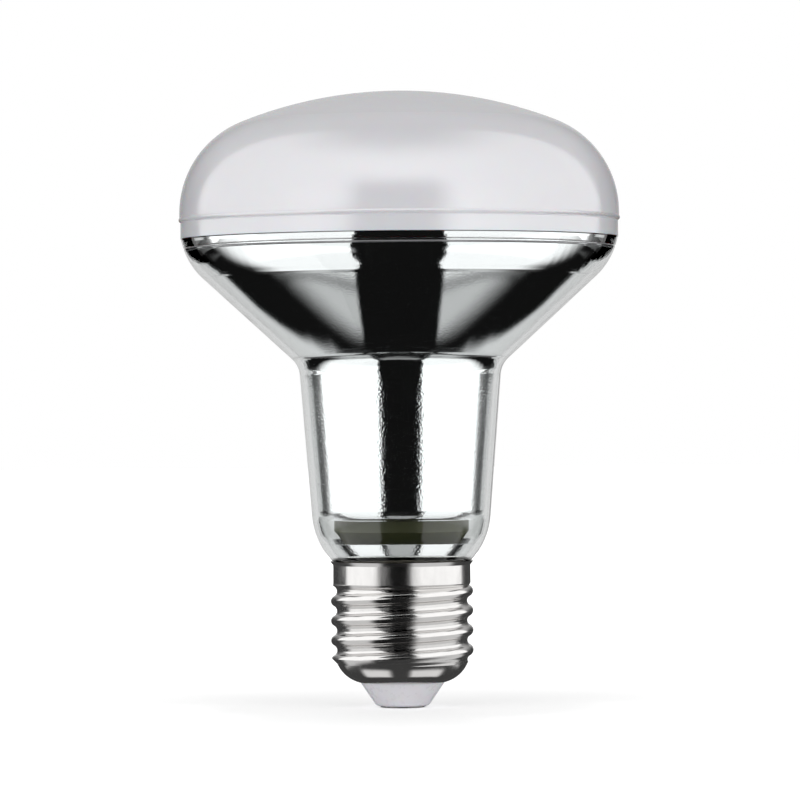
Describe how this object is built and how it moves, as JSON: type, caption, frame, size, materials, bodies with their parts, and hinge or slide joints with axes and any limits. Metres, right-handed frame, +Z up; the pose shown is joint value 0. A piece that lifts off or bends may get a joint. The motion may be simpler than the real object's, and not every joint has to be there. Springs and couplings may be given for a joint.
{
  "type": "reflector bulb",
  "caption": "Reflector lamp with a frosted dome, a mirrored glass cone and neck, and a screw cap, made to throw its light forward from a ceiling or spot fitting.",
  "frame": {"origin": "middle of the face of the centre contact, on the axis of the lamp", "axes": "+Z up the axis from the contact to the dome; X and Y across it, with the driver board in the XZ plane"},
  "size_m": [0.0812, 0.0812, 0.1133],
  "materials": {
    "frosted_dome": "frosted white, satin",
    "adhesive": "cured silicone",
    "clear_glass": "clear, fire polished",
    "mirror": "bright aluminised",
    "nickel": "nickel plated, bright",
    "cement": "set cement",
    "insulator": "smooth",
    "contact": "tinned",
    "aluminium": "drawn",
    "white_board": "white solder mask",
    "phosphor": "phosphor resin",
    "steel": "zinc plated",
    "white_plastic": "moulded",
    "olive_plastic": "moulded",
    "green_board": "laminate with solder mask",
    "black_sleeve": "shrunk sleeve",
    "yellow_case": "moulded case",
    "ferrite": "ground",
    "winding_tape": "taped winding",
    "black_resin": "moulded resin",
    "resistor_body": "coated",
    "red_lead": "insulated wire",
    "black_lead": "insulated wire",
    "brown_lead": "insulated wire",
    "blue_lead": "insulated wire"
  },
  "bodies": {
    "root": {"front_dome": "frosted_dome", "dome_adhesive": "adhesive", "reflector_glass": "clear_glass", "mirror_lining": "mirror", "screw_shell": "nickel", "cap_cement": "cement", "cap_insulator": "insulator", "centre_contact": "contact", "heat_sink": "aluminium", "led_board": "white_board", "led_packages": "phosphor", "board_screws": "steel", "led_terminal": "white_plastic", "driver_carrier": "olive_plastic", "driver_board": "green_board", "smoothing_capacitor": "black_sleeve", "input_capacitor": "yellow_case", "transformer_core": "ferrite", "transformer_winding": "winding_tape", "bridge_rectifier": "black_resin", "driver_chip": "black_resin", "fuse_resistor": "resistor_body", "led_lead_positive": "red_lead", "led_lead_negative": "black_lead", "live_lead": "brown_lead", "neutral_lead": "blue_lead"}
  },
  "joints": []
}
